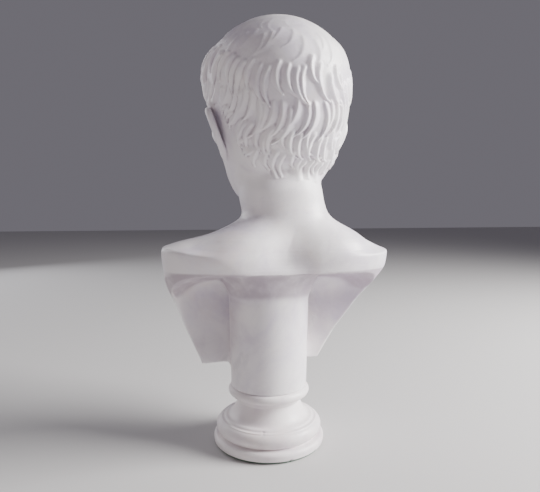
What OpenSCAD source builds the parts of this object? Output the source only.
// Marble bust on a turned marble socle: head, neck and chest in one block, hollowed behind
// round a support pillar, and clamped to the socle by a threaded rod.
// Millimetres. Origin at the middle of the underside, +Z up, the chest faces -Y.

/* [Socle] */
// Height of the socle with its felt, up to the seat that the bust stands on
socle_h = 69; // [66:0.5:75]
// Widest radius of the plinth
plinth_r = 65.8; // [64:0.2:72]
// Radius of the round bead at the top of the socle
bead_r = 48.2; // [47.5:0.1:50]
// Thickness of the felt disc glued under the plinth
felt_t = 2; // [1:0.5:3]

/* [Bust] */
// Height of the crown of the head above the table
crown_z = 492; // [489:1:496]
// Radius of the support pillar where it meets the socle
pillar_r = 45.2; // [42:0.2:46.5]
// How far the head is turned to its own left, in degrees
head_turn = 10; // [0:1:40]
// How far the head leans to its own left, in degrees
head_lean = 3; // [0:0.5:5]
// Half the width of the chest across the shoulder cuts
shoulder_w = 133; // [128:1:140]
// Height of the flat underside of the chest
chest_z = 95; // [90:1:98]
// Height of the ceiling of the hollow behind the chest
hollow_z = 207; // [203:1:210]

/* [Fixing] */
// Radius of the threaded rod (M12)
rod_r = 6; // [5:0.5:6]
// Length of the threaded rod
rod_l = 126; // [116:1:134]
// Running clearance between the rod and the parts round it
rod_gap = 0.05; // [0.02:0.01:0.09]

/* [Hidden] */
$fn = 96;

stone = "#f3eff2";
mortar = "#cfcac2";
steel = "#a9adb1";
brass = "#b5903f";
resin = "#d9c48c";
felt = "#2f4a38";

// Fixing stack, from the recess under the plinth upwards
recess_r = 21;
recess_z = 26;
washer_r = 18;
washer_t = 2.5;
lock_r = 10.5;
lock_t = 3;
nut_af = 18;
nut_h = 10.8;
rod_z = recess_z - washer_t - lock_t - nut_h - 4;
socle_bore_r = rod_r + 1;
bedding_r = 36;
bedding_t = 1.2;
sleeve_r = rod_r + 4;
sleeve_flange_r = 15;
sleeve_flange_t = 2.5;
sleeve_z = socle_h;
sleeve_top = socle_h + 58;
resin_t = 1.5;
bore_top = sleeve_top + resin_t;

// Sampling of the carved surface
turn_steps = 72;
head_c = [-9, -8];
lean_z = 395;

function arc(c, r, from, to, n = 8) =
    [for (i = [0:n]) let (a = from + (to - from) * i / n) [c[0] + r * cos(a), c[1] + r * sin(a)]];
function ease(t) = t <= 0 ? 0 : t >= 1 ? 1 : t * t * (3 - 2 * t);
function bump(d, w) = exp(-d * d / (2 * w * w));
function wrap(a) = a > 180 ? a - 360 : a < -180 ? a + 360 : a;
// A table of [height, value] read with its corners rounded over 2 * span
function soft(z, table, span = 4) =
    (lookup(z - span, table) + 2 * lookup(z, table) + lookup(z + span, table)) / 4;

// ---- Chest, shoulders and neck: one squared oval at each height -------------------------
chest_half = [[chest_z, 0.53 * shoulder_w], [109, 0.585 * shoulder_w], [138, 0.70 * shoulder_w],
    [167, 0.81 * shoulder_w], [189, 0.915 * shoulder_w], [203, 0.968 * shoulder_w],
    [212, 0.99 * shoulder_w], [224, shoulder_w], [230, 0.99 * shoulder_w], [233, 0.94 * shoulder_w],
    [239, 0.815 * shoulder_w], [246, 0.70 * shoulder_w], [253, 0.59 * shoulder_w],
    [260, 0.485 * shoulder_w], [267, 0.40 * shoulder_w], [274, 0.372 * shoulder_w], [288, 49],
    [370, 49]];
chest_front = [[chest_z, 60], [110, 68], [150, 76], [190, 80], [212, 76], [230, 68], [245, 58],
    [256, 51], [270, 50], [300, 52], [370, 52]];
chest_back = [[chest_z, 14], [130, 28], [170, 44], [205, 58], [222, 62], [232, 60], [246, 51],
    [262, 45], [280, 45], [300, 50], [370, 52]];
chest_shift = [[chest_z, 8], [138, 4], [160, 1], [182, -2], [196, -5], [210, -9], [232, -9],
    [239, -13], [253, -18], [267, -20], [288, -15], [330, -8], [370, -5]];
chest_depth = [[chest_z, -8], [200, 0], [262, 6], [300, 0], [330, -8], [370, -8]];

function oval(a, front, back, n, turn) =
    let (s = abs(sin(turn)) / a, c = cos(turn), d = abs(c) / (c > 0 ? front : back))
    pow(pow(s, n) + pow(d, n), -1 / n);
function chest_power(z) = lookup(z, [[chest_z, 2.4], [215, 2.7], [240, 2.3], [275, 2]]);
function breast(z, turn) =
    5 * bump(wrap(abs(turn) - 42), 20) * bump(z - 196, 20)
    - 2.5 * bump(turn, 9) * bump(z - 190, 34)
    + 4 * bump(wrap(abs(turn) - 40), 16) * bump(z - 243, 5)
    - 5 * bump(turn, 12) * bump(z - 254, 8);
function chest_point(z, turn) =
    let (r = oval(soft(z, chest_half), soft(z, chest_front), soft(z, chest_back),
                  chest_power(z), turn) + breast(z, turn))
    [soft(z, chest_shift) + r * sin(turn), soft(z, chest_depth) - r * cos(turn), z];

// ---- Head: an oval at each height, turned, with the features as rises and hollows --------
head_low = 288;
// The skull closes over the crown as part of an oval centred at this height
dome_z = 417;
function dome_level(a) = dome_z + (crown_z - dome_z) * sin(a);
function dome(r) = concat([for (a = [28:8:84]) [dome_level(a), r * cos(a)]], [[crown_z, 4]]);
head_half = concat([[head_low - 8, 50], [head_low, 52], [309, 56], [323, 60], [337, 64], [350, 69],
    [371, 74], [385, 77.5], [399, 80.5], [412, 83], [426, 84], [439, 81]], dome(83));
head_front = concat([[head_low - 8, 66], [head_low, 88], [300, 91], [320, 89], [345, 88], [370, 88],
    [395, 89], [425, 92]], dome(93));
head_back = concat([[head_low - 8, 50], [head_low, 52], [300, 54], [320, 64], [345, 82], [370, 96],
    [395, 104], [425, 106]], dome(107));

function nose(z, a) = lookup(z, [[340, 0], [345, 15], [352, 25], [362, 20], [392, 6], [402, 2], [412, 0]])
    * bump(a, z < 360 ? 8 : 5.5);
function eye(z, a) = let (d = abs(a) - 21)
    -8 * bump(d, 9) * bump(z - 391, 8) + 5 * bump(d, 6) * bump(z - 390, 6);
function brow(z, a) = 4 * bump(abs(a) - 20, 13) * bump(z - 406, 5);
function cheek(z, a) = 5 * bump(abs(a) - 42, 13) * bump(z - 368, 14);
function mouth(z, a) = bump(a, 10) * (5 * bump(z - 331, 4) + 4.5 * bump(z - 320, 4)
    - 3 * bump(z - 326, 1.8) - 3.5 * bump(z - 309, 5)) + 5 * bump(a, 13) * bump(z - 296, 9);
function ear(z, a) = 10 * bump(abs(a) - 100, 6) * ease((z - 332) / 12) * ease((394 - z) / 8);
function in_hair(z, a) = ease((abs(a) - lookup(z, [[300, 150], [330, 122], [395, 104], [412, 80],
    [440, 62], [462, 36], [474, 0]])) / 10);
function locks(z, a) = 2.2 * in_hair(z, a) * sin(9 * a + 60 * sin(6.5 * z)) * ease((crown_z - z) / 40);
function head_point(z, turn) =
    let (a = wrap(turn - head_turn),
         r = oval(soft(z, head_half, 3), soft(z, head_front, 3), soft(z, head_back, 3), 2.1, a)
             + nose(z, a) + eye(z, a) + brow(z, a) + cheek(z, a) + mouth(z, a) + ear(z, a) + locks(z, a))
    [head_c[0] + (z - lean_z) * tan(head_lean) + r * sin(turn), head_c[1] - r * cos(turn), z];

// Where the jaw and the nape leave the neck, the further of the two surfaces counts
function reach(p, z) = norm([p[0] - soft(z, chest_shift), p[1] - soft(z, chest_depth)]);
function body_point(z, turn) = z < head_low - 7 ? chest_point(z, turn)
    : z > 372 ? head_point(z, turn)
    : let (h = head_point(z, turn), c = chest_point(z, turn))
      reach(h, z) > reach(c, z) ? h : c;

body_levels = concat([for (z = [chest_z:9:212]) z], [for (z = [217:3.5:231]) z], [for (z = [233:4:281]) z],
    [for (z = [285:4.5:460]) z], [for (a = [36:6:84]) dome_level(a)], [crown_z]);

// A closed solid through one ring of points at each level, in turn
module skin(levels, m, point) {
    n = len(levels);
    polyhedron(
        points = [for (z = levels) for (j = [0:m - 1]) point(z, j)],
        faces = concat(
            [[for (j = [0:m - 1]) j]],
            [for (i = [0:n - 2]) for (j = [0:m - 1])
                let (a = i * m + j, b = i * m + (j + 1) % m) each [[a, a + m, b + m], [a, b + m, b]]],
            [[for (j = [m - 1:-1:0]) (n - 1) * m + j]]));
}

// The hollow behind the chest: a dish that is deepest beside the pillar, rises to the edges of
// the chest and curves out in a cove under the back
cove_z = hollow_z - 39;
dish = [[chest_z - 8, 16], [130, 26], [165, 36], [190, 34], [hollow_z, 30]];
hollow_levels = concat([for (z = [chest_z - 8:16.5:cove_z - 2]) z],
    [for (a = [0:12:84]) cove_z + 39 * sin(a)]);
function cove(z) = z < cove_z ? 0 : 80 * (1 - sqrt(max(0, 1 - pow((z - cove_z) / 39, 2))));
dish_steps = 16;
function hollow_point(z, j) =
    let (half = soft(z, chest_half) + 6, middle = soft(z, chest_shift), x = half * (2 * j / dish_steps - 1))
    j > dish_steps ? [middle + (j == dish_steps + 1 ? half : -half), 110 + cove(z), z]
    : [middle + x, soft(z, chest_depth) + 12 + cove(z)
        - soft(z, dish) * (1 - pow(max(0, abs(x) - 40) / (half - 40), 2)), z];
module hollow() skin(hollow_levels, dish_steps + 3, function (z, j) hollow_point(z, j));

module bust() color(stone) difference() {
    union() {
        difference() {
            skin(body_levels, turn_steps, function (z, j) body_point(z, wrap(360 * j / turn_steps)));
            hollow();
        }
        translate([0, 0, socle_h]) cylinder(r1 = pillar_r, r2 = pillar_r + 3, h = hollow_z - socle_h);
        translate([0, 0, hollow_z - 31]) cylinder(r1 = pillar_r + 2.3, r2 = pillar_r + 13, h = 31);
    }
    translate([0, 0, socle_h - 1]) cylinder(r = sleeve_r + resin_t, h = bore_top - socle_h + 1);
    translate([0, 0, socle_h - 1]) cylinder(r = sleeve_flange_r, h = sleeve_flange_t + 1);
}

// ---- Socle ----------------------------------------------------------------------------
socle_profile = let (p = plinth_r, top = socle_h, bead = 5.5, b = [bead_r - bead, top - bead]) concat(
    [[0, felt_t], [p - 1.8, felt_t], [p - 0.4, felt_t + 1.6]],
    arc([p - 4.5, 8], 4.5, -10, 75, 6),
    [[p - 8, 12.8]],
    arc([p - 12.3, 21.6], 9, -66, 66, 12),
    [[p - 12.2, 31], [p - 13.6, 32.2]],
    [for (i = [0:8]) let (t = i / 8) [p - 15 - 13.5 * pow(t, 0.8), 33 + 18 * pow(t, 1.8)]],
    [[bead_r - 10.2, 53], [bead_r - 9.6, 56]],
    arc(b, bead, -82, 84, 12),
    [[0, top]]);

module socle() color(stone) difference() {
    rotate_extrude() polygon(socle_profile);
    translate([0, 0, -1]) cylinder(r = recess_r, h = recess_z + 1);
    cylinder(r = socle_bore_r, h = socle_h + 1);
    translate([0, 0, socle_h - bedding_t]) cylinder(r = bedding_r, h = bedding_t + 1);
}

// ---- What holds the two stones together ---------------------------------------------------
module ring(outer, inner, z, h) {
    translate([0, 0, z]) difference() {
        cylinder(r = outer, h = h);
        translate([0, 0, -1]) cylinder(r = inner, h = h + 2);
    }
}

module bedding_disc() color(mortar) ring(bedding_r, socle_bore_r, socle_h - bedding_t, bedding_t);

module anchor_sleeve() color(brass) difference() {
    union() {
        ring(sleeve_flange_r, rod_r + rod_gap, sleeve_z, sleeve_flange_t);
        ring(sleeve_r, rod_r + rod_gap, sleeve_z, sleeve_top - sleeve_z);
    }
    for (z = [sleeve_z + 12:8:sleeve_top - 8]) ring(sleeve_r + 1, sleeve_r - 0.8, z, 2);
}

module sleeve_resin() color(resin) {
    ring(sleeve_r + resin_t, sleeve_r, sleeve_z + sleeve_flange_t, sleeve_top - sleeve_z - sleeve_flange_t);
}

module threaded_rod() color(steel) {
    chamfer = 1;
    translate([0, 0, rod_z]) {
        cylinder(r1 = rod_r - chamfer, r2 = rod_r, h = chamfer);
        translate([0, 0, chamfer]) cylinder(r = rod_r, h = rod_l - 2 * chamfer);
        translate([0, 0, rod_l - chamfer]) cylinder(r1 = rod_r, r2 = rod_r - chamfer, h = chamfer);
    }
}

module plain_washer() color(steel) ring(washer_r, rod_r + 0.4, recess_z - washer_t, washer_t);

module lock_washer() color(steel) difference() {
    split = 1.5;
    ring(lock_r, rod_r + 0.2, recess_z - washer_t - lock_t, lock_t);
    translate([rod_r - 1, -split / 2, 0]) cube([lock_r, split, recess_z]);
}

module hex_nut() color(steel) difference() {
    z = recess_z - washer_t - lock_t - nut_h;
    intersection() {
        translate([0, 0, z]) cylinder(r = nut_af / sqrt(3), h = nut_h, $fn = 6);
        translate([0, 0, z]) cylinder(r1 = nut_af / 2 + 0.4, r2 = nut_af / 2 + 0.4 + nut_h, h = nut_h);
    }
    translate([0, 0, z - 1]) cylinder(r = rod_r + rod_gap, h = nut_h + 2);
}

module felt_pad() color(felt) cylinder(r = plinth_r - 3, h = felt_t);

bust();
socle();
bedding_disc();
anchor_sleeve();
sleeve_resin();
threaded_rod();
plain_washer();
lock_washer();
hex_nut();
felt_pad();
